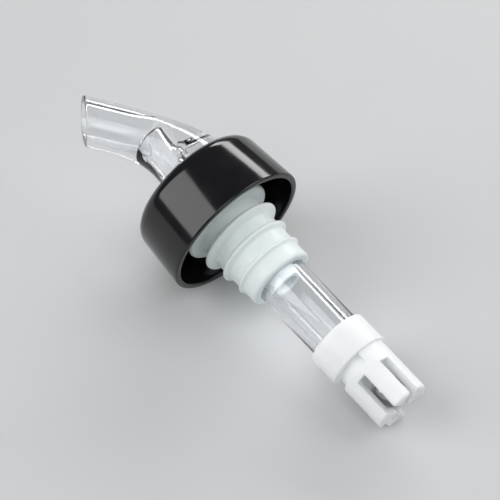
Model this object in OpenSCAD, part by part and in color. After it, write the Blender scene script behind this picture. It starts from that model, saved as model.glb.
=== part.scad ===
// Measured liquor pourer: a clear bent spout on a black cup, a soft finned stopper for a bottle neck,
// and a clear tube below it in which a steel ball times each measure.
// The origin is on the stopper's axis where the bottle's lip meets the seat flange, with the spout up.

/* [Stopper] */
// Radius of the flange that rests on the lip of the bottle
seat_flange_r = 11.8; // [11.4:0.1:12.2]
// Thickness of the seat flange
seat_flange_t = 1.6; // [1.3:0.1:2.2]
// Radius of the wide fin at the mouth of the neck
neck_fin_r = 10.8; // [10.2:0.05:11.2]
// Radius of the upper round fin
upper_fin_r = 9.75; // [9.5:0.05:10.1]
// Radius of the lower round fin
lower_fin_r = 9.2; // [8.9:0.05:9.6]
// Radius of the bead at the end of the stopper
end_bead_r = 8.5; // [8.5:0.05:8.8]
// Distance from one fin to the next
fin_pitch = 5.1; // [4.6:0.1:5.6]
// Depth of the first fin below the seat flange
first_fin_drop = 4.4; // [4:0.1:5]
// Distance from the last fin to the end bead
bead_drop = 4; // [3.5:0.1:4.4]
// Radius of the rounding on the end bead
bead_round = 1; // [0.6:0.1:1.2]
// Thickness of each fin at its rim
fin_rim_t = 1; // [0.8:0.1:1.2]
// Thickness of each fin carried in to the tube
fin_root_t = 3.8; // [3:0.1:4.2]
// Radius of the plug below the seat flange
plug_top_r = 8.75; // [8.6:0.05:9]
// Radius of the plug at its lower end
plug_end_r = 8.45; // [8.2:0.05:8.45]
// Radius of the stopper's head inside the collar
head_r = 9.5; // [9:0.1:10.5]

/* [Collar] */
// Radius of the collar at its rim
collar_rim_r = 19; // [18:0.1:21]
// Radius of the collar below its rounded top edge
collar_top_r = 18; // [17.4:0.05:18.6]
// Drop of the rim below the lip of the bottle
rim_drop = 3; // [2:0.1:5]
// Height of the collar's top above the lip of the bottle
collar_top_z = 14.1; // [13:0.1:17]
// Rounding of the collar's top edge
collar_edge_round = 3.7; // [3:0.1:3.9]
// Thickness of the collar's side wall
collar_wall = 1.6; // [1.2:0.1:2]
// Thickness of the collar's top wall
collar_top_wall = 2; // [1.6:0.1:2.4]

/* [Spout] */
// Radius of the straight tip of the spout
spout_tip_r = 6.1; // [5.8:0.05:6.4]
// Length of the straight tip, along its axis to the mouth
spout_tip_length = 9.3; // [7:0.1:12]
// Slant of the mouth from a square cut
mouth_slant = 19.5; // [0:0.5:22]
// Radius of the spout's foot on the collar
spout_foot_r = 10.5; // [9.8:0.1:10.9]
// Distance of the foot's centre behind the stopper's axis
foot_setback = 3.7; // [3.2:0.1:4]
// Radius of the bend of the spout
bend_r = 36.5; // [34:0.1:40]
// Angle of the bend of the spout
bend_angle = 37.9; // [36:0.1:42]
// Radius of the two straight bores that meet in the bend
spout_bore_r = 4.35; // [4:0.05:4.5]
// Radius of the round elbow where the two bores meet
elbow_r = 4.55; // [4.55:0.05:4.8]
// Radius of the stem inside the stopper
stem_r = 6; // [5.8:0.05:6.2]

/* [Vent] */
// Radius of the drilled vent hole
vent_hole_r = 1.35; // [0.9:0.05:1.4]
// Height of the vent hole above the collar
vent_hole_height = 6.4; // [5:0.1:7]
// Lean of the vent hole towards the bend
vent_lean = 3.2; // [1:0.1:3.4]
// Distance of the rising vent channel behind the stopper's axis
vent_channel_x = 8.6; // [8.4:0.1:9]
// Radius of the rising vent channel
vent_channel_r = 1.1; // [0.8:0.05:1.2]
// Width of the vent grooves
vent_groove_w = 1.6; // [1:0.1:2]
// Depth of the vent grooves
vent_groove_depth = 0.7; // [0.5:0.05:0.8]
// Height of the stopper's vent groove above the end of the stem
vent_groove_rise = 3; // [2:0.1:4]

/* [Measuring tube] */
// Outer radius of the measuring tube
tube_r = 6.5; // [6.4:0.05:6.7]
// Radius of the tube's bore
tube_bore_r = 4.4; // [4.25:0.05:4.7]
// Depth of the tube's lower end below the lip of the bottle
tube_end_depth = 46; // [42:0.5:70]
// Height of the tube's upper end above the lip of the bottle
tube_head = 1; // [0.5:0.1:2]

/* [Valve seat] */
// Radius of the valve seat's bore, on whose edge the ball closes
valve_bore_r = 2.9; // [2.4:0.05:3.2]
// Depth of the valve seat's end below the lip of the bottle
valve_end_depth = 21.6; // [20.9:0.1:24]
// Radius of the valve seat's head flange
valve_flange_r = 5.9; // [5.4:0.05:6.2]
// Thickness of the valve seat's head flange
valve_flange_t = 1.2; // [0.8:0.1:1.6]

/* [Ball cage] */
// Outer radius of the socket ring
ring_r = 7.75; // [7.6:0.05:8.4]
// Rounding of the socket ring's top edge
ring_round = 0.8; // [0.3:0.1:1]
// Depth of the socket over the tube
socket_depth = 7.2; // [6:0.1:9]
// Thickness of the ring below the tube's end
ring_floor = 1; // [0.8:0.1:2]
// Radius of the neck groove below the ring
neck_r = 6.1; // [5.9:0.05:6.6]
// Length of the neck groove
neck_length = 2.7; // [1.5:0.1:3]
// Direction of the neck groove's middle about the axis
neck_angle = 2; // [-10:1:20]
// Spread of the neck groove, which ends before the back
neck_spread = 136; // [100:2:160]
// Outer radius of the slotted end
slotted_end_r = 7.05; // [6.9:0.05:7.4]
// Length of the slotted end
slotted_end_length = 12.3; // [11.5:0.1:14]
// Rounding of the slotted end's edge
end_round = 0.5; // [0.3:0.1:1]
// Thickness of the end wall that holds the ball
end_wall = 1.6; // [1.2:0.1:2]
// Radius of the hole in the end wall
end_hole_r = 1.8; // [1.4:0.05:2.2]
// Width of the two slots
slot_w = 2.6; // [2:0.05:3]
// Length of the slots
slot_length = 10.2; // [8:0.1:11]
// Direction of the first slot about the axis
first_slot_angle = 40.5; // [30:0.5:60]
// Angle from the first slot to the second
slot_spread = 61.5; // [50:0.5:90]
// Distance of the openings' corners behind the axis
open_setback = 0.5; // [0.2:0.1:0.8]
// Direction of the wide opening at the back
back_open_angle = 217; // [210:1:225]
// Spread of the wide opening at the back
back_open_spread = 61; // [50:1:66]
// Direction of the opening at the side
side_open_angle = 315; // [310:1:320]
// Spread of the opening at the side
side_open_spread = 42; // [30:1:46]

/* [Timing ball] */
// Radius of the steel ball
ball_r = 3.96875; // [3.9:0.00625:4.05]

/* [Fits] */
// Gap round the stem in the collar's hole
collar_clearance = 0.05; // [0.02:0.01:0.2]
// Gap under the ball at each end of its travel
ball_clearance = 0.05; // [0.02:0.01:0.1]

/* [Hidden] */
$fn = 72;
cut = 0.5;
spout_sides = 48;
spout_rings = 22;
tip_step = 0.02;
fin_2_z = -first_fin_drop - fin_pitch;
fin_3_z = fin_2_z - fin_pitch;
bead_z = fin_3_z - bead_drop;
plug_end_z = bead_z - bead_round;
collar_under_z = collar_top_z - collar_top_wall;
stem_end_z = tube_head + valve_flange_t;
bend_end_x = -foot_setback + bend_r * (1 - cos(bend_angle));
bend_end_z = collar_top_z + bend_r * sin(bend_angle);
bend_end_r = (spout_tip_r + tip_step) / cos(180 / spout_sides);
bore_meet_z = bend_end_z - bend_end_x / tan(bend_angle);
mouth_run = spout_tip_r * tan(mouth_slant);
mouth_bore_length = bend_end_x / sin(bend_angle) + spout_tip_length + mouth_run;
ring_end_z = -tube_end_depth - ring_floor;
neck_end_z = ring_end_z - neck_length;
cage_end_z = neck_end_z - slotted_end_length;
end_wall_z = cage_end_z + end_wall;
ball_rest_z = end_wall_z + sqrt(ball_r * ball_r - end_hole_r * end_hole_r) + ball_clearance;
ball_top_z = -valve_end_depth - sqrt(ball_r * ball_r - valve_bore_r * valve_bore_r) - ball_clearance;

// Radius of the spout at the angle t along its bend
function spout_r(t) = bend_end_r + (spout_foot_r - bend_end_r) * pow(1 - t / bend_angle, 2);

// Points of the ring at the angle t along the bend
function spout_ring(t) = [
    for (i = [0 : spout_sides - 1])
        let (a = 360 * i / spout_sides)
        [
            -foot_setback + bend_r * (1 - cos(t)) + spout_r(t) * cos(a) * cos(t),
            spout_r(t) * sin(a),
            collar_top_z + bend_r * sin(t) - spout_r(t) * cos(a) * sin(t)
        ]
];

module spout_bend() {
    points = [
        for (j = [0 : spout_rings])
            each spout_ring(bend_angle * j / spout_rings)
    ];
    sides = [
        for (j = [0 : spout_rings - 1], i = [0 : spout_sides - 1])
            let (k = (i + 1) % spout_sides)
            each [
                [j * spout_sides + i, (j + 1) * spout_sides + i, (j + 1) * spout_sides + k],
                [j * spout_sides + i, (j + 1) * spout_sides + k, j * spout_sides + k]
            ]
    ];
    foot = [for (i = [0 : spout_sides - 1]) i];
    top = [for (i = [spout_sides - 1 : -1 : 0]) spout_rings * spout_sides + i];
    polyhedron(points, concat([foot], [top], sides), convexity = 4);
}

// The drilled hole, the rising channel and the groove under the foot
module spout_vent() {
    t = asin(vent_hole_height / bend_r);
    drill_z = collar_top_z + vent_hole_height;
    drill_y = spout_r(t);
    drill_x = -foot_setback + bend_r * (1 - cos(t)) + vent_lean;
    turn = atan2(-drill_y, -vent_channel_x - drill_x);
    run = norm([drill_y, vent_channel_x + drill_x]);
    translate([-vent_channel_x, 0, drill_z])
        rotate([0, 90, turn + 180])
            cylinder(r = vent_hole_r, h = 2 * run);
    translate([-vent_channel_x, 0, collar_top_z - cut])
        cylinder(r = vent_channel_r, h = vent_hole_height + cut + vent_hole_r);
    translate([-vent_channel_x, -vent_groove_w / 2, collar_top_z - cut])
        cube([vent_channel_x - stem_r + vent_groove_depth, vent_groove_w, cut + vent_groove_w]);
    translate([-stem_r - cut, -vent_groove_w / 2, stem_end_z - cut])
        cube([vent_groove_depth + cut, vent_groove_w, collar_top_z - stem_end_z + 2 * cut]);
}

// The straight tip with its slanted mouth
module spout_tip() {
    reach = 2 * spout_tip_r;
    translate([bend_end_x, 0, bend_end_z])
        rotate([0, bend_angle, 0])
            difference() {
                cylinder(r = spout_tip_r, h = spout_tip_length + mouth_run + cut);
                translate([0, 0, spout_tip_length])
                    rotate([0, mouth_slant, 0])
                        translate([-reach, -reach, 0])
                            cube(2 * reach);
            }
}

module spout() {
    color([0.86, 0.88, 0.9])
        difference() {
            union() {
                spout_bend();
                spout_tip();
                translate([0, 0, stem_end_z])
                    cylinder(r = stem_r, h = collar_top_z - stem_end_z + cut);
            }
            translate([0, 0, stem_end_z - cut])
                cylinder(r = spout_bore_r, h = bore_meet_z - stem_end_z + cut);
            translate([0, 0, bore_meet_z])
                sphere(r = elbow_r);
            translate([0, 0, bore_meet_z])
                rotate([0, bend_angle, 0])
                    cylinder(r = spout_bore_r, h = mouth_bore_length + cut);
            spout_vent();
        }
}

module collar() {
    edge_r = collar_top_r - collar_edge_round;
    edge_z = collar_top_z - collar_edge_round;
    hole_r = stem_r + collar_clearance;
    color([0.03, 0.03, 0.035])
        rotate_extrude()
            difference() {
                union() {
                    polygon([
                        [hole_r, -rim_drop],
                        [collar_rim_r, -rim_drop],
                        [collar_top_r, edge_z],
                        [edge_r, collar_top_z],
                        [hole_r, collar_top_z]
                    ]);
                    translate([edge_r, edge_z])
                        circle(r = collar_edge_round);
                }
                polygon([
                    [0, -rim_drop - cut],
                    [collar_rim_r - collar_wall, -rim_drop - cut],
                    [collar_rim_r - collar_wall, -rim_drop],
                    [collar_top_r - collar_wall, collar_under_z],
                    [0, collar_under_z]
                ]);
            }
}

// A round-edged fin at the height z, solid from the tube outwards, with half its thickness at edge and root
module fin(r, z, edge, root) {
    rotate_extrude() {
        polygon([
            [tube_r, z - root],
            [r - edge, z - edge],
            [r, z],
            [r - edge, z + edge],
            [tube_r, z + root]
        ]);
        translate([r - edge, z])
            circle(r = edge);
    }
}

module stopper() {
    color([0.84, 0.86, 0.88])
        difference() {
            union() {
                rotate_extrude()
                    polygon([
                        [stem_r, collar_under_z],
                        [head_r, collar_under_z],
                        [head_r, seat_flange_t / 2],
                        [plug_top_r, 0],
                        [plug_end_r, bead_z],
                        [plug_end_r - bead_round, plug_end_z],
                        [tube_r, plug_end_z],
                        [tube_r, stem_end_z],
                        [stem_r, stem_end_z]
                    ]);
                fin(seat_flange_r, seat_flange_t / 2, seat_flange_t / 2, seat_flange_t / 2);
                fin(neck_fin_r, -first_fin_drop, fin_rim_t / 2, fin_root_t / 2);
                fin(upper_fin_r, fin_2_z, fin_rim_t / 2, fin_root_t / 2);
                fin(lower_fin_r, fin_3_z, fin_rim_t / 2, fin_root_t / 2);
                fin(end_bead_r, bead_z, bead_round, bead_round);
            }
            translate([-tube_r - vent_groove_depth, -vent_groove_w / 2, plug_end_z - cut])
                cube([tube_r, vent_groove_w, stem_end_z - plug_end_z + vent_groove_rise + cut]);
        }
}

module measuring_tube() {
    color([0.88, 0.9, 0.92])
        difference() {
            translate([0, 0, -tube_end_depth])
                cylinder(r = tube_r, h = tube_end_depth + tube_head);
            translate([0, 0, -tube_end_depth - cut])
                cylinder(r = tube_bore_r, h = tube_end_depth + tube_head + 2 * cut);
        }
}

module valve_seat() {
    color([0.8, 0.83, 0.88])
        difference() {
            union() {
                translate([0, 0, -valve_end_depth])
                    cylinder(r = tube_bore_r, h = valve_end_depth + stem_end_z);
                translate([0, 0, tube_head])
                    cylinder(r = valve_flange_r, h = valve_flange_t);
            }
            translate([0, 0, -valve_end_depth - cut])
                cylinder(r = valve_bore_r, h = valve_end_depth + stem_end_z + 2 * cut);
        }
}

module cage_slot(angle) {
    rotate([0, 0, angle])
        translate([0, -slot_w / 2, cage_end_z - cut])
            cube([slotted_end_r + cut, slot_w, slot_length + cut]);
}

// The neck groove, which runs part of the way round
module cage_neck() {
    rotate([0, 0, neck_angle - neck_spread / 2])
        rotate_extrude(angle = neck_spread)
            translate([neck_r, neck_end_z])
                square([slotted_end_r - neck_r + cut, neck_length]);
}

module cage_opening(angle, spread) {
    far = slotted_end_r + cut;
    half = (far + open_setback) * tan(spread / 2);
    rotate([0, 0, angle])
        translate([0, 0, cage_end_z - cut])
            linear_extrude(slot_length + cut)
                polygon([[-open_setback, 0], [far, -half], [far, half]]);
}

module ball_cage() {
    end_r = slotted_end_r - end_round;
    ring_top_z = socket_depth - tube_end_depth;
    color([0.93, 0.93, 0.92])
        difference() {
            union() {
                rotate_extrude() {
                    polygon([
                        [0, ring_end_z],
                        [ring_r, ring_end_z],
                        [ring_r, ring_top_z - ring_round],
                        [ring_r - ring_round, ring_top_z],
                        [0, ring_top_z]
                    ]);
                    translate([ring_r - ring_round, ring_top_z - ring_round])
                        circle(r = ring_round);
                }
                rotate_extrude() {
                    polygon([
                        [0, ring_end_z],
                        [slotted_end_r, ring_end_z],
                        [slotted_end_r, cage_end_z + end_round],
                        [end_r, cage_end_z],
                        [0, cage_end_z]
                    ]);
                    translate([end_r, cage_end_z + end_round])
                        circle(r = end_round);
                }
            }
            translate([0, 0, -tube_end_depth])
                cylinder(r = tube_r, h = socket_depth + cut);
            translate([0, 0, end_wall_z])
                cylinder(r = tube_bore_r, h = -tube_end_depth - end_wall_z + cut);
            translate([0, 0, cage_end_z - cut])
                cylinder(r = end_hole_r, h = end_wall + 2 * cut);
            cage_slot(first_slot_angle);
            cage_slot(first_slot_angle + slot_spread);
            cage_opening(back_open_angle, back_open_spread);
            cage_opening(side_open_angle, side_open_spread);
            cage_neck();
        }
}

module timing_ball() {
    color([0.75, 0.76, 0.78])
        translate([0, 0, ball_rest_z])
            sphere(r = ball_r);
}

spout();
collar();
stopper();
measuring_tube();
valve_seat();
ball_cage();
timing_ball();
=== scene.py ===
"""Dresses the measured liquor pourer for a studio picture, piece by piece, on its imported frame."""

import math
from typing import NamedTuple

import bpy
from bpy.props import FloatProperty, FloatVectorProperty, PointerProperty
from mathutils import Matrix, Vector


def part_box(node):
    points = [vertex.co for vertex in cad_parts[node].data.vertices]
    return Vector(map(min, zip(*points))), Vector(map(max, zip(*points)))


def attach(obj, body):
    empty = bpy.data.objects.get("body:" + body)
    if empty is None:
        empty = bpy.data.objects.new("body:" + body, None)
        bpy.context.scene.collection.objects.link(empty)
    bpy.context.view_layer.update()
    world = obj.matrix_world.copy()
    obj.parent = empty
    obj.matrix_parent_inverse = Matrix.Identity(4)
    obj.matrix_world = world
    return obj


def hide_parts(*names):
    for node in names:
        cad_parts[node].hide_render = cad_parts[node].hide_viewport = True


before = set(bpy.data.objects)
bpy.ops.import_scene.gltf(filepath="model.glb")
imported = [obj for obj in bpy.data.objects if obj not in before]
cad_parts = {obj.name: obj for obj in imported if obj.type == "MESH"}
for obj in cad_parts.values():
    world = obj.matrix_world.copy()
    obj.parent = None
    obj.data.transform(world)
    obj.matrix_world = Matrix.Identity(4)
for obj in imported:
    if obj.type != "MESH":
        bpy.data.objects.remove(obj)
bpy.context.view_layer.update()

bl_info = {
    "name": "Measured Liquor Pourer",
    "version": (1, 0, 0),
    "blender": (4, 5, 0),
    "location": "3D View > Sidebar > Pourer",
    "description": "Models and finishes the pieces of a measured liquor pourer",
    "category": "Object",
}

MM = 0.001

# Gap left between faces that meet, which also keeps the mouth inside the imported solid
SEAM = 0.015 * MM
# How far a cutter stands out past the face that it cuts
PAST = 2.0 * MM
# Width of the ring that cuts the cage's neck groove
NECK_CUT = 2.0 * MM
# Roundings of small edges
FINE_EDGE = 0.1 * MM
SMALL_EDGE = 0.15 * MM
PLAIN_EDGE = 0.2 * MM
# Roundings of the collar, the stopper and the cage
COLLAR_INNER_EDGE = 0.9 * MM
RIM_INNER_EDGE = 0.35 * MM
RIM_OUTER_EDGE = 0.45 * MM
HEAD_EDGE = 0.4 * MM
FLANGE_FILLET = 0.6 * MM
PLUG_FILLET = 0.4 * MM
FIN_FILLET = 0.7 * MM
BEAD_FILLET = 0.3 * MM
BEAD_TOP_EDGE = 0.4 * MM
RING_LOWER_EDGE = 0.35 * MM
END_HOLE_EDGE = 0.3 * MM
# Rounding of a fin's rim, as a share of half its thickness
FIN_EDGE_SHARE = 0.8
# Heights of the bead's side and of the plug's end over the stopper's end, in roundings of the bead
BEAD_SIDE = 1.9
BEAD_TOP = 2.2
# Gap round the stem in the collar's hole
COLLAR_GAP = 0.05 * MM
# How far the collar's side widens down to below its top wall
COLLAR_FLARE = 0.25 * MM
# How far the stem's groove runs into the foot
STEM_GROOVE_LAP = 0.2 * MM
# How far the stopper's groove overlaps the stem, and how far its cutter stands out below
GROOVE_RISE = 2.5 * MM
GROOVE_PAST = 0.5 * MM
# Largest share of a side that the rounding of one of its corners may take
SIDE_SHARE = 0.49
# Points closer than this are one point
WELD = 0.0001 * MM
# Roundings with a reach below this are left as corners
LEAST_REACH = 0.00001 * MM

# Steps of round forms
ROUND_STEPS = 5
LIP_STEPS = 4
TURN_STEPS = 128
COLLAR_STEPS = 160
NECK_STEPS = 48
BEND_STEPS = 28
TIP_STEPS = 5
SPOUT_SIDES = 96
VENT_SIDES = 48
BALL_CUTS = 23
# Length of the countersink's cutter in depths of the countersink
SINK_REACH = 3

# Edges that bend more than this stay sharp, in degrees
SHARP_EDGE = 35.0
SHARP_SPOUT_EDGE = 28.0

# Side of the studio floor in metres, and the cuts across it
FLOOR_SIZE = 1.6
FLOOR_CUTS = 3
# Width of the camera's sensor in millimetres
SENSOR_WIDTH = 36.0
# Light from all round
AIR_COLOUR = (0.60, 0.61, 0.62, 1.0)
AIR_STRENGTH = 0.22


class Lamp(NamedTuple):
    """A softbox, with its place in degrees and metres, its size in metres and how bright it looks."""

    name: str
    heading: float
    rise: float
    distance: float
    size: tuple
    brightness: float


LAMPS = (
    Lamp("left_softbox", heading=-168.0, rise=38.0, distance=0.75, size=(0.50, 0.65), brightness=3.1),
    Lamp("right_softbox", heading=5.0, rise=45.0, distance=0.75, size=(0.50, 0.50), brightness=2.5),
    Lamp("back_strip", heading=66.0, rise=27.5, distance=0.70, size=(0.70, 0.16), brightness=7.5),
    Lamp("front_softbox", heading=-80.0, rise=58.0, distance=0.80, size=(0.60, 0.60), brightness=2.0),
)


def low(node):
    """Lowest corner of a node of the frame."""
    return Vector(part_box(node)[0])


def high(node):
    """Highest corner of a node of the frame."""
    return Vector(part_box(node)[1])


def length(name, description, default):
    """A size in metres for the panel."""
    return FloatProperty(name=name, description=description, default=default, unit="LENGTH", precision=5)


def angle(name, description, degrees):
    """An angle for the panel."""
    return FloatProperty(name=name, description=description, default=math.radians(degrees), subtype="ANGLE")


def colour(name, description, default):
    """A colour for the panel."""
    return FloatVectorProperty(
        name=name, description=description, default=default, subtype="COLOR", size=3, min=0.0, max=1.0
    )


class PourerSizes(bpy.types.PropertyGroup):
    """Sizes of the pourer's pieces."""

    rim_r: length("Collar rim", "Radius of the collar at its rim", high("collar").x)
    rim_z: length("Collar rim height", "Height of the collar's rim", low("collar").z)
    collar_top_r: length("Collar top", "Radius of the collar's side carried up to its top", 17.72 * MM)
    collar_top_z: length("Collar top height", "Height of the collar's top", high("collar").z)
    collar_wall: length("Collar wall", "Thickness of the collar's side wall", 1.6 * MM)
    collar_top_wall: length("Collar top wall", "Thickness of the collar's top wall", 2.0 * MM)
    collar_edge: length("Collar edge", "Rounding of the collar's top edge", 3.7 * MM)
    flange_r: length("Seat flange", "Radius of the flange on the bottle's lip", high("stopper").x)
    flange_t: length("Seat flange thickness", "Thickness of the seat flange", 1.6 * MM)
    neck_fin_r: length("Neck fin", "Radius of the wide fin", 10.8 * MM)
    upper_fin_r: length("Upper fin", "Radius of the upper round fin", 9.75 * MM)
    lower_fin_r: length("Lower fin", "Radius of the lower round fin", 9.2 * MM)
    neck_fin_z: length("Neck fin height", "Height of the wide fin's middle", -4.4 * MM)
    fin_pitch: length("Fin pitch", "Distance from one fin to the next", 5.1 * MM)
    fin_rim: length("Fin rim", "Half of a fin's thickness at its rim", 0.5 * MM)
    fin_root: length("Fin root", "Half of a fin's thickness carried in to the tube", 1.9 * MM)
    plug_top_r: length("Plug top", "Radius of the plug between the upper fins", 8.75 * MM)
    plug_end_r: length("Plug end", "Radius of the plug between the lower fins", 8.45 * MM)
    bead_r: length("End bead", "Radius of the bead at the stopper's end", 8.5 * MM)
    bead_round: length("End bead edge", "Rounding of the bead at the stopper's end", 1.0 * MM)
    head_r: length("Stopper head", "Radius of the stopper's head in the collar", 9.5 * MM)
    stem_r: length("Stem", "Radius of the spout's stem", 6.0 * MM)
    foot_r: length("Spout foot", "Radius of the spout's foot", 10.5 * MM)
    foot_setback: length("Foot setback", "Distance of the foot's centre behind the axis", 3.7 * MM)
    bend_r: length("Spout bend", "Radius of the spout's bend", 36.5 * MM)
    bend_angle: angle("Spout angle", "Angle of the spout's bend", 37.9)
    tip_r: length("Spout tip", "Radius of the spout's tip", 6.1 * MM)
    tip_length: length("Spout tip length", "Length of the spout's straight tip", 9.3 * MM)
    mouth_slant: angle("Mouth slant", "Slant of the spout's mouth from a square cut", 19.5)
    mouth_lip: length("Mouth lip", "Rounding of the edges of the mouth", 0.35 * MM)
    bore_r: length("Spout bore", "Radius of the bores in the spout", 4.35 * MM)
    bore_past: length("Bore end", "How far the mouth's bore runs past the stem's axis", 1.04 * MM)
    bore_short: length("Stem bore end", "How far the stem's bore ends short of the mouth's axis", 1.5 * MM)
    bore_round: length("Bore end edge", "Rounding at the top of the stem's bore", 1.2 * MM)
    vent_r: length("Vent hole", "Radius of the drilled vent hole", 1.35 * MM)
    vent_sink: length("Vent countersink", "Depth of the countersink of the vent hole", 0.45 * MM)
    vent_height: length("Vent height", "Height of the vent hole above the collar", 6.4 * MM)
    vent_lean: length("Vent lean", "Lean of the vent hole towards the bend", 3.2 * MM)
    channel_x: length("Vent channel", "Distance of the rising channel behind the axis", 8.6 * MM)
    channel_r: length("Vent channel radius", "Radius of the rising channel", 1.1 * MM)
    groove_w: length("Vent groove", "Width of the vent grooves", 1.6 * MM)
    groove_depth: length("Vent groove depth", "Depth of the vent grooves", 0.7 * MM)
    tube_r: length("Tube", "Outer radius of the measuring tube", high("measuring_tube").x)
    tube_bore_r: length("Tube bore", "Radius of the tube's bore", 4.4 * MM)
    valve_bore_r: length("Valve bore", "Radius of the valve seat's bore", 2.9 * MM)
    ring_r: length("Cage ring", "Radius of the cage's socket ring", high("ball_cage").x)
    ring_round: length("Cage ring edge", "Rounding of the ring's top edge", 0.8 * MM)
    ring_floor: length("Cage ring floor", "Thickness of the ring below the tube", 1.0 * MM)
    neck_r: length("Cage neck", "Radius of the cage's neck groove", 6.1 * MM)
    neck_length: length("Cage neck length", "Length of the cage's neck groove", 2.7 * MM)
    neck_angle: angle("Cage neck direction", "Direction of the neck groove's middle", 2.0)
    neck_spread: angle("Cage neck spread", "Spread of the neck groove", 136.0)
    cage_r: length("Slotted end", "Radius of the cage's slotted end", 7.05 * MM)
    end_round: length("Cage end edge", "Rounding of the slotted end's edge", 0.5 * MM)
    end_wall: length("Cage end wall", "Thickness of the cage's end wall", 1.6 * MM)
    end_hole_r: length("Cage end hole", "Radius of the hole in the end wall", 1.8 * MM)
    slot_w: length("Slot", "Width of the cage's slots", 2.6 * MM)
    slot_length: length("Slot length", "Length of the cage's slots", 10.2 * MM)
    first_slot: angle("First slot", "Direction of the first slot", 40.5)
    slot_spread: angle("Slot spread", "Angle from the first slot to the second", 61.5)
    open_setback: length("Opening setback", "Distance of the openings' corners behind the axis", 0.5 * MM)
    back_angle: angle("Back opening", "Direction of the wide opening at the back", 217.0)
    back_spread: angle("Back opening spread", "Spread of the wide opening at the back", 61.0)
    side_angle: angle("Side opening", "Direction of the opening at the side", 315.0)
    side_spread: angle("Side opening spread", "Spread of the opening at the side", 42.0)


class PourerColours(bpy.types.PropertyGroup):
    """Colours of the pourer's finishes and of the floor."""

    clear: colour("Clear plastic", "Tint of the spout and tube", (0.94, 0.955, 0.965))
    black: colour("Black plastic", "Colour of the collar", (0.005, 0.005, 0.006))
    milky: colour("Milky plastic", "Colour of the stopper", (0.85, 0.96, 0.985))
    pale: colour("Pale plastic", "Colour of the valve seat", (0.88, 0.93, 0.95))
    white: colour("White plastic", "Colour of the cage", (0.88, 0.90, 0.91))
    steel: colour("Steel", "Colour of the ball", (0.44, 0.435, 0.43))
    floor: colour("Floor", "Colour of the studio floor", (0.56, 0.565, 0.57))


class PourerStudio(bpy.types.PropertyGroup):
    """How the pourer lies on the floor and where the camera stands."""

    tilt: angle("Tilt", "How far the stopper's axis dips from the floor to the tip", 11.5)
    heading: angle("Heading", "Direction of the stopper's axis on the floor", -48.5)
    roll: angle("Roll", "How far the spout's bend rises over level", 1.1)
    rim_place: FloatVectorProperty(
        name="Rim place",
        description="Centre of the collar's rim over the point the camera looks at",
        default=(-3.08 * MM, -10.26 * MM, 18.54 * MM),
        subtype="TRANSLATION",
        precision=5,
    )
    elevation: angle("Camera elevation", "Angle of the camera above the floor", 49.4)
    distance: length("Camera distance", "Distance of the camera from the point it looks at", 493.45 * MM)
    lens: FloatProperty(
        name="Lens", description="Focal length on a 36 mm wide sensor", default=141.98, min=1.0
    )


class Value:
    """A number of a shader, which adds Math nodes where it is used in an expression."""

    def __init__(self, finish, socket):
        self.finish = finish
        self.socket = socket

    def maths(self, operation, other):
        """Adds a Math node for an operation with another number."""
        return self.finish.node("ShaderNodeMath", {"operation": operation}, {0: self, 1: other})

    def __add__(self, other):
        return self.maths("ADD", other)

    __radd__ = __add__

    def __mul__(self, other):
        return self.maths("MULTIPLY", other)

    __rmul__ = __mul__


class Finish:
    """A material that is put together from nodes."""

    def __init__(self, name):
        self.material = bpy.data.materials.new(name)
        self.material.use_nodes = True
        self.tree = self.material.node_tree
        self.tree.nodes.clear()

    def node(self, kind, settings=None, links=None, output=0):
        """Adds a node, sets it up, fills its sockets and gives one of its outputs."""
        added = self.tree.nodes.new(kind)
        for key, setting in (settings or {}).items():
            setattr(added, key, setting)
        for key, value in (links or {}).items():
            socket = added.inputs[key]
            if isinstance(value, Value):
                self.tree.links.new(value.socket, socket)
            elif socket.type == "RGBA":
                socket.default_value = (*value, 1.0)
            else:
                socket.default_value = value
        return Value(self, added.outputs[output]) if added.outputs else None

    def place(self, stretch):
        """The place on the piece, stretched along its axes."""
        here = self.node("ShaderNodeTexCoord", output="Object")
        return self.node("ShaderNodeMapping", None, {"Vector": here, "Scale": stretch})

    def noise(self, size, detail=3.0, stretch=(1.0, 1.0, 1.0)):
        """Soft noise with features of a size in metres."""
        links = {"Vector": self.place(stretch), "Scale": 1.0 / size, "Detail": detail, "Roughness": 0.55}
        return self.node("ShaderNodeTexNoise", None, links, "Fac")

    def ramp(self, value, start, end):
        """The value spread from 0 at start to 1 at end."""
        links = {"Value": value, "From Min": start, "From Max": end}
        return self.node("ShaderNodeMapRange", {"clamp": True}, links)

    def mix(self, share, first, second):
        """A colour between two colours."""
        settings = {"data_type": "RGBA", "blend_type": "MIX"}
        return self.node("ShaderNodeMix", settings, {"Factor": share, 6: first, 7: second}, 2)

    def bump(self, height, depth, strength):
        """A bumped normal from a height."""
        links = {"Height": height, "Distance": depth, "Strength": strength}
        return self.node("ShaderNodeBump", None, links)

    def surface(self, links):
        """The shader of a plastic, a metal or paper."""
        return self.node("ShaderNodeBsdfPrincipled", None, links)

    def mix_shaders(self, share, first, second):
        """A shader between two shaders."""
        return self.node("ShaderNodeMixShader", None, {0: share, 1: first, 2: second})

    def close(self, shader):
        """Ends the material with its shader and gives it."""
        self.node("ShaderNodeOutputMaterial", None, {"Surface": shader})
        return self.material


def toned(tint, scale):
    """A colour made lighter or darker."""
    return tuple(min(1.0, part * scale) for part in tint)


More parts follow.
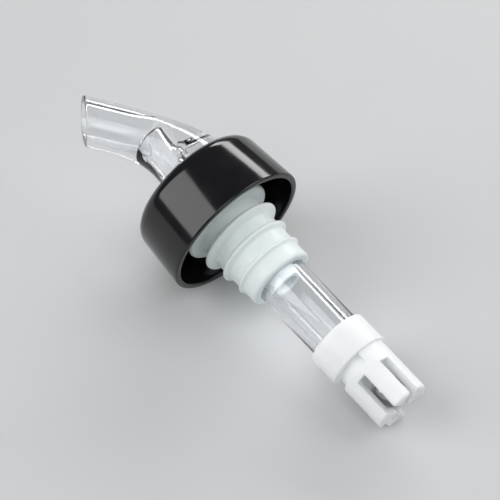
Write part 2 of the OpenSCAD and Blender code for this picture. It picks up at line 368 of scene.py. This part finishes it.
def clear_plastic(tint):
    """Polished clear plastic with faint flow lines of the moulding, which lets the lamps' light through."""
    finish = Finish("clear_plastic")
    cloud = finish.noise(3.0 * MM)
    flow = finish.noise(1.6 * MM, 2.0, (1.0, 1.0, 0.12))
    plastic = finish.surface({
        "Base Color": finish.mix(cloud, toned(tint, 0.99), toned(tint, 1.02)),
        "Roughness": 0.015 + cloud * 0.03,
        "IOR": 1.49,
        "Transmission Weight": 1.0,
        "Normal": finish.bump(flow, 0.01 * MM, 0.02),
    })
    to_lamp = finish.node("ShaderNodeLightPath", output="Is Shadow Ray")
    passing = finish.node("ShaderNodeBsdfTransparent", None, {"Color": toned(tint, 0.97)})
    return finish.close(finish.mix_shaders(to_lamp, plastic, passing))


def black_plastic(tint):
    """Polished black plastic with faint handling smears."""
    finish = Finish("black_plastic")
    smear = finish.ramp(finish.noise(5.0 * MM, 4.0), 0.4, 0.75)
    fine = finish.noise(0.25 * MM, 2.0)
    ripple = finish.noise(4.0 * MM, 1.0)
    return finish.close(finish.surface({
        "Base Color": finish.mix(smear, tint, toned(tint, 1.5)),
        "Roughness": 0.10 + smear * 0.05 + fine * 0.02,
        "IOR": 1.5,
        "Normal": finish.bump(ripple, 0.03 * MM, 0.08),
    }))


def milky_plastic(tint):
    """Soft translucent plastic that lets light seep through its fins."""
    finish = Finish("milky_plastic")
    cloud = finish.noise(2.5 * MM)
    grain = finish.noise(0.22 * MM)
    return finish.close(finish.surface({
        "Base Color": finish.mix(cloud, toned(tint, 0.97), toned(tint, 1.04)),
        "Roughness": 0.26 + cloud * 0.10 + grain * 0.06,
        "IOR": 1.42,
        "Alpha": 0.92,
        "Subsurface Weight": 1.0,
        "Subsurface Radius": (1.0, 1.03, 1.06),
        "Subsurface Scale": 1.1 * MM,
        "Normal": finish.bump(grain, 0.012 * MM, 0.35),
    }))


def pale_plastic(tint):
    """Pale plastic of the valve seat, which light enters a little."""
    finish = Finish("pale_plastic")
    cloud = finish.noise(2.0 * MM)
    return finish.close(finish.surface({
        "Base Color": finish.mix(cloud, toned(tint, 0.96), toned(tint, 1.03)),
        "Roughness": 0.28 + cloud * 0.12,
        "IOR": 1.5,
        "Subsurface Weight": 0.4,
        "Subsurface Radius": (1.0, 1.05, 1.1),
        "Subsurface Scale": 0.8 * MM,
    }))


def white_plastic(tint):
    """Satin white plastic with a fine moulded grain."""
    finish = Finish("white_plastic")
    cloud = finish.noise(3.0 * MM)
    grain = finish.noise(0.18 * MM)
    return finish.close(finish.surface({
        "Base Color": finish.mix(cloud, toned(tint, 0.97), toned(tint, 1.03)),
        "Roughness": 0.28 + cloud * 0.08 + grain * 0.08,
        "IOR": 1.5,
        "Subsurface Weight": 1.0,
        "Subsurface Radius": (1.0, 1.0, 1.0),
        "Subsurface Scale": 1.6 * MM,
        "Normal": finish.bump(grain, 0.01 * MM, 0.3),
    }))


def polished_steel(tint):
    """Ground and polished ball steel with hair-fine marks."""
    finish = Finish("polished_steel")
    cloud = finish.noise(1.2 * MM)
    marks = finish.noise(0.5 * MM, 4.0, (1.0, 6.0, 6.0))
    return finish.close(finish.surface({
        "Base Color": finish.mix(cloud, toned(tint, 0.95), toned(tint, 1.05)),
        "Metallic": 1.0,
        "Roughness": 0.02 + marks * 0.04,
        "Normal": finish.bump(marks, 0.004 * MM, 0.2),
    }))


def floor_paper(tint):
    """Pale matt studio paper that can only be seen from above."""
    finish = Finish("floor_paper")
    cloud = finish.noise(60.0 * MM, 2.0)
    paper = finish.surface({
        "Base Color": finish.mix(cloud, toned(tint, 0.99), toned(tint, 1.01)),
        "Roughness": 0.75,
    })
    below = finish.node("ShaderNodeNewGeometry", output="Backfacing")
    nothing = finish.node("ShaderNodeBsdfTransparent")
    return finish.close(finish.mix_shaders(below, paper, nothing))


def rounded(corners):
    """Points of a closed outline in the XZ plane from corners of radius, height and rounding."""
    points = []
    count = len(corners)
    for place, (r, z, rounding) in enumerate(corners):
        here = Vector((r, z))
        back = Vector(corners[place - 1][:2]) - here
        ahead = Vector(corners[(place + 1) % count][:2]) - here
        half = back.angle(ahead) / 2.0
        reach = min(rounding / math.tan(half), back.length * SIDE_SHARE, ahead.length * SIDE_SHARE)
        if reach < LEAST_REACH:
            points.append((r, 0.0, z))
            continue
        bend = reach * math.tan(half)
        towards = (back.normalized() + ahead.normalized()).normalized()
        centre = here + towards * (bend / math.sin(half))
        first = here + back.normalized() * reach - centre
        sweep = first.angle_signed(here + ahead.normalized() * reach - centre)
        for step in range(ROUND_STEPS + 1):
            turn = Matrix.Rotation(-sweep * step / ROUND_STEPS, 2)
            point = centre + turn @ first
            points.append((point.x, 0.0, point.y))
    return points


def pick(piece):
    """Selects a piece alone."""
    bpy.ops.object.select_all(action="DESELECT")
    bpy.context.view_layer.objects.active = piece
    piece.select_set(True)


def open_piece(name, add, **settings):
    """Adds a primitive with all else deselected, and opens it for editing."""
    bpy.ops.object.select_all(action="DESELECT")
    add(**settings)
    piece = bpy.context.object
    piece.name = name
    piece.data.name = name
    bpy.ops.object.mode_set(mode="EDIT")
    bpy.ops.mesh.select_all(action="SELECT")
    return piece


def open_disc(name, sides, radius, height=0.0):
    """Adds a filled circle round the stopper's axis and opens it for editing."""
    return open_piece(
        name,
        bpy.ops.mesh.primitive_circle_add,
        vertices=sides,
        radius=radius,
        fill_type="NGON",
        location=(0, 0, height),
    )


def extrude(step):
    """Draws out what is selected by a step."""
    bpy.ops.mesh.extrude_region_move(TRANSFORM_OT_translate={"value": step})


def close_piece():
    """Faces the open piece outwards and ends its editing."""
    bpy.ops.mesh.select_all(action="SELECT")
    bpy.ops.mesh.normals_make_consistent(inside=False)
    bpy.ops.object.mode_set(mode="OBJECT")


def turned(name, corners, steps=TURN_STEPS):
    """A piece spun round the stopper's axis from its rounded half section."""
    piece = open_piece(name, bpy.ops.mesh.primitive_plane_add, size=MM)
    points = rounded(corners)
    bpy.ops.mesh.merge(type="CENTER")
    bpy.ops.transform.translate(value=points[0])
    for last, point in zip(points, points[1:] + points[:1]):
        extrude(Vector(point) - Vector(last))
    bpy.ops.mesh.select_all(action="SELECT")
    bpy.ops.mesh.remove_doubles(threshold=WELD)
    bpy.ops.mesh.select_all(action="SELECT")
    bpy.ops.mesh.spin(steps=steps, angle=2.0 * math.pi, center=(0, 0, 0), axis=(0, 0, 1))
    bpy.ops.mesh.select_all(action="SELECT")
    bpy.ops.mesh.remove_doubles(threshold=WELD)
    close_piece()
    return piece


def laid(piece, matrix):
    """Moves a piece to its place and keeps the place in its mesh."""
    pick(piece)
    piece.matrix_world = matrix
    bpy.ops.object.transform_apply(location=True, rotation=True, scale=True)
    return piece


def aimed(piece, start, run):
    """Moves a piece that was modelled along Z to its start and turns it along a run."""
    turn = run.to_track_quat("Z", "Y").to_matrix().to_4x4()
    return laid(piece, Matrix.Translation(start) @ turn)


def bar(name, size, matrix):
    """A bar with its middle at the origin, moved to its place."""
    piece = open_piece(name, bpy.ops.mesh.primitive_cube_add, size=1.0)
    bpy.ops.transform.resize(value=size)
    bpy.ops.object.mode_set(mode="OBJECT")
    return laid(piece, matrix)


def rod(name, sides, radius, start, end, rounding=0.0):
    """A round rod from one point to another, with its far edge rounded where that is asked for."""
    run = Vector(end) - Vector(start)
    piece = open_disc(name, sides, radius)
    extrude((0, 0, run.length))
    if rounding > 0.0:
        bpy.ops.mesh.bevel(offset=rounding, segments=ROUND_STEPS, affect="EDGES")
    close_piece()
    return aimed(piece, start, run)


def carve(piece, *cutters):
    """Cuts the cutters out of a piece and removes them."""
    for cutter in cutters:
        pick(piece)
        cut = piece.modifiers.new("cut", "BOOLEAN")
        cut.operation = "DIFFERENCE"
        cut.solver = "EXACT"
        cut.object = cutter
        bpy.ops.object.modifier_apply(modifier=cut.name)
        bpy.data.meshes.remove(cutter.data)


def finish_piece(piece, node, body, material, sharp=SHARP_EDGE):
    """Smooths a piece, gives it its material and puts it in place of its node."""
    pick(piece)
    bpy.ops.object.shade_smooth_by_angle(angle=math.radians(sharp))
    piece.data.materials.clear()
    piece.data.materials.append(material)
    if not piece.data.polygons:
        raise RuntimeError(piece.name + " has no faces")
    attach(piece, body)
    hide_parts(node)


class POURER_OT_spout(bpy.types.Operator):
    """Models the bent clear spout with its bores and its vent"""

    bl_idname = "pourer.spout"
    bl_label = "Spout"

    def execute(self, context):
        s = context.scene.pourer_sizes
        foot_z = s.collar_top_z + SEAM
        stem_z = low("spout").z + SEAM
        piece = open_disc("spout_clear", SPOUT_SIDES, s.stem_r, stem_z)
        extrude((0, 0, foot_z - stem_z))
        extrude((-s.foot_setback, 0, 0))
        centre = Vector((-s.foot_setback, 0, foot_z))
        bpy.ops.transform.resize(value=(s.foot_r / s.stem_r,) * 3, center_override=centre)
        radius = s.foot_r
        for step in range(1, BEND_STEPS + 1):
            turn = s.bend_angle * step / BEND_STEPS
            ahead = Vector((self.centre_x(s, turn), 0, foot_z + s.bend_r * math.sin(turn)))
            extrude(ahead - centre)
            centre = ahead
            bpy.ops.transform.rotate(
                value=-s.bend_angle / BEND_STEPS, orient_axis="Y", center_override=centre
            )
            wide = self.radius_at(s, step / BEND_STEPS)
            bpy.ops.transform.resize(value=(wide / radius,) * 3, center_override=centre)
            radius = wide
        bend_end = centre.copy()
        out = Vector((math.sin(s.bend_angle), 0, math.cos(s.bend_angle)))
        past_mouth = out * (s.tip_length + s.tip_r)
        for _ in range(TIP_STEPS):
            extrude(past_mouth / TIP_STEPS)
        bpy.ops.mesh.select_all(action="SELECT")
        bpy.ops.mesh.normals_make_consistent(inside=False)
        facing = s.bend_angle + s.mouth_slant
        bpy.ops.mesh.bisect(
            plane_co=bend_end + out * (s.tip_length - 2 * SEAM),
            plane_no=(math.sin(facing), 0, math.cos(facing)),
            use_fill=True,
            clear_outer=True,
        )
        bpy.ops.mesh.bevel(offset=s.mouth_lip, segments=LIP_STEPS, affect="EDGES")
        bpy.ops.object.mode_set(mode="OBJECT")
        laid(piece, Matrix.Translation((0, 0, stem_z)))
        self.cut_bores(s, piece, bend_end, out, stem_z)
        self.cut_vent(s, piece, foot_z, stem_z)
        plastic = clear_plastic(context.scene.pourer_colours.clear)
        finish_piece(piece, "spout", "pourer", plastic, SHARP_SPOUT_EDGE)
        return {"FINISHED"}

    def centre_x(self, s, turn):
        """Distance of the spout's centre in front of the axis where it has bent by an angle."""
        return s.bend_r * (1 - math.cos(turn)) - s.foot_setback

    def radius_at(self, s, share):
        """Radius of the spout at a share of its bend."""
        return s.tip_r + (s.foot_r - s.tip_r) * (1 - share) ** 2

    def cut_bores(self, s, piece, bend_end, out, stem_z):
        """Cuts the stem's bore and the mouth's bore, which meet in the bend."""
        meet = bend_end - out * (bend_end.x / out.x)
        stem_top = meet - Vector((0, 0, s.bore_short))
        past_mouth = bend_end + out * (s.tip_length + s.tip_r)
        carve(
            piece,
            rod("bore", SPOUT_SIDES, s.bore_r, (0, 0, stem_z - PAST), stem_top, s.bore_round),
            rod("bore", SPOUT_SIDES, s.bore_r, meet - out * s.bore_past, past_mouth),
        )

    def cut_vent(self, s, piece, foot_z, stem_z):
        """Cuts the vent hole, the channel down from it and the grooves that carry the air on."""
        turn = math.asin(s.vent_height / s.bend_r)
        wide = self.radius_at(s, turn / s.bend_angle)
        drill_z = foot_z + s.vent_height
        foot_x = self.centre_x(s, turn)
        inner = Vector((-s.channel_x, 0, drill_z))
        outer = Vector((foot_x + s.vent_lean, wide, drill_z))
        run = (outer - inner).normalized()
        across = inner - Vector((foot_x, 0, drill_z))
        along = across.dot(run)
        mouth = inner + run * (math.sqrt(along ** 2 + wide ** 2 - across.dot(across)) - along)
        channel_foot = (-s.channel_x, 0, foot_z - PAST)
        channel_top = inner + Vector((0, 0, s.vent_r / 2))
        groove_run = s.channel_x - s.stem_r + s.groove_depth
        groove_middle = (-s.channel_x + groove_run / 2, 0, foot_z + (s.groove_w - PAST) / 2)
        stem_middle = (-s.stem_r, 0, (foot_z + stem_z - PAST) / 2 + STEM_GROOVE_LAP)
        carve(
            piece,
            self.vent_drill(s, inner - run * s.channel_r / 2, mouth),
            rod("vent", VENT_SIDES, s.channel_r, channel_foot, channel_top),
            bar("vent", (groove_run, s.groove_w, s.groove_w + PAST), Matrix.Translation(groove_middle)),
            bar(
                "vent",
                (2 * s.groove_depth, s.groove_w, foot_z - stem_z + PAST),
                Matrix.Translation(stem_middle),
            ),
        )

    def vent_drill(self, s, start, mouth):
        """A round cutter for the vent hole that widens to the countersink of its mouth."""
        run = mouth - start
        straight = run.length - s.vent_sink
        flare = SINK_REACH * s.vent_sink
        piece = open_disc("vent", VENT_SIDES, s.vent_r)
        extrude((0, 0, straight))
        extrude((0, 0, flare))
        bpy.ops.transform.resize(
            value=(1 + flare / s.vent_r,) * 3, center_override=(0, 0, straight + flare)
        )
        close_piece()
        return aimed(piece, start, run)


class POURER_OT_collar(bpy.types.Operator):
    """Models the black cup round the stopper's head"""

    bl_idname = "pourer.collar"
    bl_label = "Collar"

    def execute(self, context):
        s = context.scene.pourer_sizes
        hole = s.stem_r + COLLAR_GAP
        under = s.collar_top_z - s.collar_top_wall
        piece = turned("collar_black", [
            (hole, under, SMALL_EDGE),
            (s.collar_top_r + COLLAR_FLARE - s.collar_wall, under, COLLAR_INNER_EDGE),
            (s.rim_r - s.collar_wall, s.rim_z, RIM_INNER_EDGE),
            (s.rim_r, s.rim_z, RIM_OUTER_EDGE),
            (s.collar_top_r, s.collar_top_z, s.collar_edge),
            (hole, s.collar_top_z, SMALL_EDGE),
        ], COLLAR_STEPS)
        plastic = black_plastic(context.scene.pourer_colours.black)
        finish_piece(piece, "collar", "pourer", plastic)
        return {"FINISHED"}


class POURER_OT_stopper(bpy.types.Operator):
    """Models the soft finned stopper"""

    bl_idname = "pourer.stopper"
    bl_label = "Stopper"

    def execute(self, context):
        s = context.scene.pourer_sizes
        end_z = low("stopper").z
        top_z = high("stopper").z - SEAM
        step_z = low("spout").z
        flange_round = s.flange_t * SIDE_SHARE
        corners = [
            (s.stem_r + SEAM, top_z, FINE_EDGE),
            (s.head_r, top_z, HEAD_EDGE),
            (s.head_r, s.flange_t, FLANGE_FILLET),
            (s.flange_r, s.flange_t, flange_round),
            (s.flange_r, 0.0, flange_round),
            (s.plug_top_r, 0.0, PLUG_FILLET),
        ]
        for place, fin_r in enumerate((s.neck_fin_r, s.upper_fin_r, s.lower_fin_r)):
            corners += self.fin(s, fin_r, s.neck_fin_z - place * s.fin_pitch, end_z)
        corners += [
            (s.plug_end_r, end_z + BEAD_TOP * s.bead_round, BEAD_FILLET),
            (s.bead_r, end_z + BEAD_SIDE * s.bead_round, BEAD_TOP_EDGE),
            (s.bead_r, end_z, s.bead_round),
            (s.tube_r + SEAM, end_z, PLAIN_EDGE),
            (s.tube_r + SEAM, step_z, FINE_EDGE),
            (s.stem_r + SEAM, step_z, FINE_EDGE),
        ]
        piece = turned("stopper_milky", corners)
        groove = step_z - end_z + GROOVE_RISE + GROOVE_PAST
        carve(piece, bar(
            "vent",
            (2 * s.groove_depth, s.groove_w, groove),
            Matrix.Translation((-s.tube_r, 0, end_z + groove / 2 - GROOVE_PAST)),
        ))
        plastic = milky_plastic(context.scene.pourer_colours.milky)
        finish_piece(piece, "stopper", "pourer", plastic)
        return {"FINISHED"}

    def fin(self, s, fin_r, fin_z, end_z):
        """Corners of a fin that tapers from the plug to its rim."""
        plug_r = s.plug_top_r + (s.plug_end_r - s.plug_top_r) * fin_z / (end_z + s.bead_round)
        rim_in = fin_r - s.fin_rim
        thick = s.fin_root + (s.fin_rim - s.fin_root) * (plug_r - s.tube_r) / (rim_in - s.tube_r)
        grow = (s.fin_root - s.fin_rim) * s.fin_rim / (rim_in - s.tube_r)
        rim_round = s.fin_rim * FIN_EDGE_SHARE
        return [
            (plug_r, fin_z + thick, FIN_FILLET),
            (fin_r, fin_z + s.fin_rim - grow, rim_round),
            (fin_r, fin_z - s.fin_rim + grow, rim_round),
            (plug_r, fin_z - thick, FIN_FILLET),
        ]


class POURER_OT_tube(bpy.types.Operator):
    """Models the clear measuring tube and the valve seat in its top"""

    bl_idname = "pourer.tube"
    bl_label = "Measuring tube and valve seat"

    def execute(self, context):
        s = context.scene.pourer_sizes
        colours = context.scene.pourer_colours
        top_z = high("measuring_tube").z
        end_z = low("measuring_tube").z + SEAM
        tube = turned("tube_clear", [
            (s.tube_bore_r, top_z - SEAM, SMALL_EDGE),
            (s.tube_r, top_z - SEAM, PLAIN_EDGE),
            (s.tube_r, end_z, PLAIN_EDGE),
            (s.tube_bore_r, end_z, SMALL_EDGE),
        ])
        finish_piece(tube, "measuring_tube", "pourer", clear_plastic(colours.clear))
        flange_r = high("valve_seat").x
        head_z = high("valve_seat").z - SEAM
        seat_z = low("valve_seat").z
        seat = turned("valve_seat_pale", [
            (s.valve_bore_r, head_z, PLAIN_EDGE),
            (flange_r, head_z, PLAIN_EDGE),
            (flange_r, top_z + SEAM, SMALL_EDGE),
            (s.tube_bore_r - SEAM, top_z + SEAM, SMALL_EDGE),
            (s.tube_bore_r - SEAM, seat_z, PLAIN_EDGE),
            (s.valve_bore_r, seat_z, PLAIN_EDGE),
        ])
        finish_piece(seat, "valve_seat", "pourer", pale_plastic(colours.pale))
        return {"FINISHED"}


class POURER_OT_cage(bpy.types.Operator):
    """Models the white slotted cage on the end of the tube"""

    bl_idname = "pourer.cage"
    bl_label = "Ball cage"

    def execute(self, context):
        s = context.scene.pourer_sizes
        top_z = high("ball_cage").z
        end_z = low("ball_cage").z
        tube_z = low("measuring_tube").z
        ring_z = tube_z - s.ring_floor
        wall_z = end_z + s.end_wall
        piece = turned("cage_white", [
            (s.tube_r + SEAM, top_z, PLAIN_EDGE),
            (s.ring_r, top_z, s.ring_round),
            (s.ring_r, ring_z, RING_LOWER_EDGE),
            (s.cage_r, ring_z, SMALL_EDGE),
            (s.cage_r, end_z, s.end_round),
            (s.end_hole_r, end_z, END_HOLE_EDGE),
            (s.end_hole_r, wall_z, FINE_EDGE),
            (s.tube_bore_r, wall_z, PLAIN_EDGE),
            (s.tube_bore_r, tube_z - SEAM, FINE_EDGE),
            (s.tube_r + SEAM, tube_z - SEAM, FINE_EDGE),
        ])
        tall = s.slot_length + PAST
        middle = Matrix.Translation((0, 0, end_z + (s.slot_length - PAST) / 2))
        outwards = Matrix.Translation((s.cage_r, 0, 0))
        for direction in (s.first_slot, s.first_slot + s.slot_spread):
            place = middle @ Matrix.Rotation(direction, 4, "Z") @ outwards
            carve(piece, bar("slot", (2 * s.cage_r, s.slot_w, tall), place))
        for direction, spread in ((s.back_angle, s.back_spread), (s.side_angle, s.side_spread)):
            place = middle @ Matrix.Rotation(direction + math.pi / 2, 4, "Z")
            carve(piece, laid(self.opening(s, tall, spread), place))
        carve(piece, self.neck(s, ring_z))
        plastic = white_plastic(context.scene.pourer_colours.white)
        finish_piece(piece, "ball_cage", "pourer", plastic)
        return {"FINISHED"}

    def neck(self, s, ring_z):
        """A part ring that cuts the groove under the socket ring."""
        wide = s.neck_length + SEAM
        piece = open_piece("neck", bpy.ops.mesh.primitive_plane_add, size=1.0)
        bpy.ops.transform.rotate(value=math.pi / 2, orient_axis="X")
        bpy.ops.transform.resize(value=(NECK_CUT, 1.0, wide))
        bpy.ops.transform.translate(value=(s.neck_r + NECK_CUT / 2, 0, ring_z - wide / 2 + SEAM))
        bpy.ops.transform.rotate(
            value=-(s.neck_angle - s.neck_spread / 2), orient_axis="Z", center_override=(0, 0, 0)
        )
        bpy.ops.mesh.spin(steps=NECK_STEPS, angle=-s.neck_spread, center=(0, 0, 0), axis=(0, 0, 1))
        close_piece()
        return piece

    def opening(self, s, tall, spread):
        """A wedge that opens one side of the cage, with its corner near the origin and its base at -Y."""
        deep = 2 * s.cage_r + s.open_setback
        half = deep * math.tan(spread / 2)
        # Size of the triangle in a unit circle, whose corner at +Y is then moved to the origin
        triangle_deep = 1.5
        triangle_half = math.sin(math.pi / 3)
        piece = open_disc("opening", 3, 1.0)
        extrude((0, 0, 1))
        bpy.ops.mesh.select_all(action="SELECT")
        bpy.ops.transform.translate(value=(0, -1, -0.5))
        bpy.ops.transform.resize(
            value=(half / triangle_half, deep / triangle_deep, tall), center_override=(0, 0, 0)
        )
        bpy.ops.transform.translate(value=(0, s.open_setback, 0))
        close_piece()
        return piece


class POURER_OT_ball(bpy.types.Operator):
    """Models the steel timing ball, rounded up from a divided cube"""

    bl_idname = "pourer.ball"
    bl_label = "Timing ball"

    def execute(self, context):
        centre = (low("timing_ball") + high("timing_ball")) / 2
        radius = (high("timing_ball").z - low("timing_ball").z) / 2
        piece = open_piece("ball_steel", bpy.ops.mesh.primitive_cube_add, size=2.0)
        bpy.ops.mesh.subdivide(number_cuts=BALL_CUTS)
        bpy.ops.mesh.select_all(action="SELECT")
        bpy.ops.transform.tosphere(value=1.0)
        bpy.ops.object.mode_set(mode="OBJECT")
        reach = max(vertex.co.length for vertex in piece.data.vertices)
        scale = Matrix.Diagonal((radius / reach,) * 3).to_4x4()
        laid(piece, Matrix.Translation(centre) @ scale)
        steel = polished_steel(context.scene.pourer_colours.steel)
        finish_piece(piece, "timing_ball", "ball", steel)
        return {"FINISHED"}


class POURER_OT_studio(bpy.types.Operator):
    """Sets up the floor that the pourer lies on, the light and the camera"""

    bl_idname = "pourer.studio"
    bl_label = "Studio"

    def execute(self, context):
        scene = context.scene
        studio = scene.pourer_studio
        to_part = self.lying(studio, scene.pourer_sizes.rim_z).inverted()
        self.add_floor(scene.pourer_colours.floor, to_part)
        for lamp in LAMPS:
            self.add_lamp(context.collection, lamp, to_part)
        self.add_air(scene)
        scene.camera = self.add_camera(context.collection, studio, to_part)
        scene.view_settings.view_transform = "Standard"
        return {"FINISHED"}

    def lying(self, studio, rim_z):
        """The place of the pourer as it lies, with the floor level at zero."""
        down = self.direction(studio.heading, -studio.tilt)
        side = down.cross(Vector((0, 0, 1))).normalized()
        over = side.cross(down)
        bend = side * math.cos(studio.roll) + over * math.sin(studio.roll)
        axis = -down
        turn = Matrix((bend, axis.cross(bend), axis)).transposed().to_4x4()
        seat = Vector(studio.rim_place) - axis * rim_z
        return Matrix.Translation(seat) @ turn

    def direction(self, heading, rise):
        """The direction of a heading on the floor and a rise over it."""
        flat = math.cos(rise)
        return Vector((flat * math.cos(heading), flat * math.sin(heading), math.sin(rise)))

    def add_floor(self, tint, to_part):
        """A sheet of paper under the pourer, seen from its upper side only."""
        floor = open_piece("studio_floor", bpy.ops.mesh.primitive_plane_add, size=FLOOR_SIZE)
        bpy.ops.mesh.subdivide(number_cuts=FLOOR_CUTS)
        bpy.ops.object.mode_set(mode="OBJECT")
        laid(floor, to_part)
        floor.data.materials.append(floor_paper(tint))

    def add_lamp(self, collection, lamp, to_part):
        """A softbox that faces the pourer, whose power keeps its brightness at any size."""
        data = bpy.data.lights.new(lamp.name, "AREA")
        data.shape = "RECTANGLE"
        wide, tall = lamp.size
        data.size = wide
        data.size_y = tall
        data.energy = lamp.brightness * math.pi * wide * tall
        added = bpy.data.objects.new(lamp.name, data)
        collection.objects.link(added)
        away = self.direction(math.radians(lamp.heading), math.radians(lamp.rise))
        turn = (-away).to_track_quat("-Z", "Y").to_matrix().to_4x4()
        added.matrix_world = to_part @ Matrix.Translation(away * lamp.distance) @ turn

    def add_air(self, scene):
        """Even light from all round."""
        world = bpy.data.worlds.new("studio_air")
        scene.world = world
        world.use_nodes = True
        background = world.node_tree.nodes["Background"]
        background.inputs["Color"].default_value = AIR_COLOUR
        background.inputs["Strength"].default_value = AIR_STRENGTH

    def add_camera(self, collection, studio, to_part):
        """The camera at the photo's viewing angle."""
        data = bpy.data.cameras.new("photo_camera")
        data.sensor_width = SENSOR_WIDTH
        data.lens = studio.lens
        camera = bpy.data.objects.new("photo_camera", data)
        collection.objects.link(camera)
        rise = studio.elevation
        stand = Vector((0, -math.cos(rise), math.sin(rise))) * studio.distance
        turn = Matrix.Rotation(math.pi / 2 - rise, 4, "X")
        camera.matrix_world = to_part @ Matrix.Translation(stand) @ turn
        return camera


class POURER_PT_panel(bpy.types.Panel):
    """Lists the steps and settings of the pourer"""

    bl_idname = "POURER_PT_panel"
    bl_label = "Measured Liquor Pourer"
    bl_space_type = "VIEW_3D"
    bl_region_type = "UI"
    bl_category = "Pourer"

    def draw(self, context):
        for step in STEPS:
            self.layout.operator(step.bl_idname)
        for group_name, group in GROUPS.items():
            box = self.layout.box()
            for name in group.__annotations__:
                box.prop(getattr(context.scene, group_name), name)


GROUPS = {"pourer_sizes": PourerSizes, "pourer_colours": PourerColours, "pourer_studio": PourerStudio}
STEPS = (
    POURER_OT_spout,
    POURER_OT_collar,
    POURER_OT_stopper,
    POURER_OT_tube,
    POURER_OT_cage,
    POURER_OT_ball,
    POURER_OT_studio,
)


def register():
    for group in GROUPS.values():
        bpy.utils.register_class(group)
    for name, group in GROUPS.items():
        setattr(bpy.types.Scene, name, PointerProperty(type=group))
    for step in STEPS:
        bpy.utils.register_class(step)
    bpy.utils.register_class(POURER_PT_panel)


def unregister():
    bpy.utils.unregister_class(POURER_PT_panel)
    for step in reversed(STEPS):
        bpy.utils.unregister_class(step)
    for name, group in GROUPS.items():
        delattr(bpy.types.Scene, name)
        bpy.utils.unregister_class(group)


def main():
    register()
    bpy.ops.pourer.spout()
    bpy.ops.pourer.collar()
    bpy.ops.pourer.stopper()
    bpy.ops.pourer.tube()
    bpy.ops.pourer.cage()
    bpy.ops.pourer.ball()
    bpy.ops.pourer.studio()


if __name__ == "__main__":
    main()
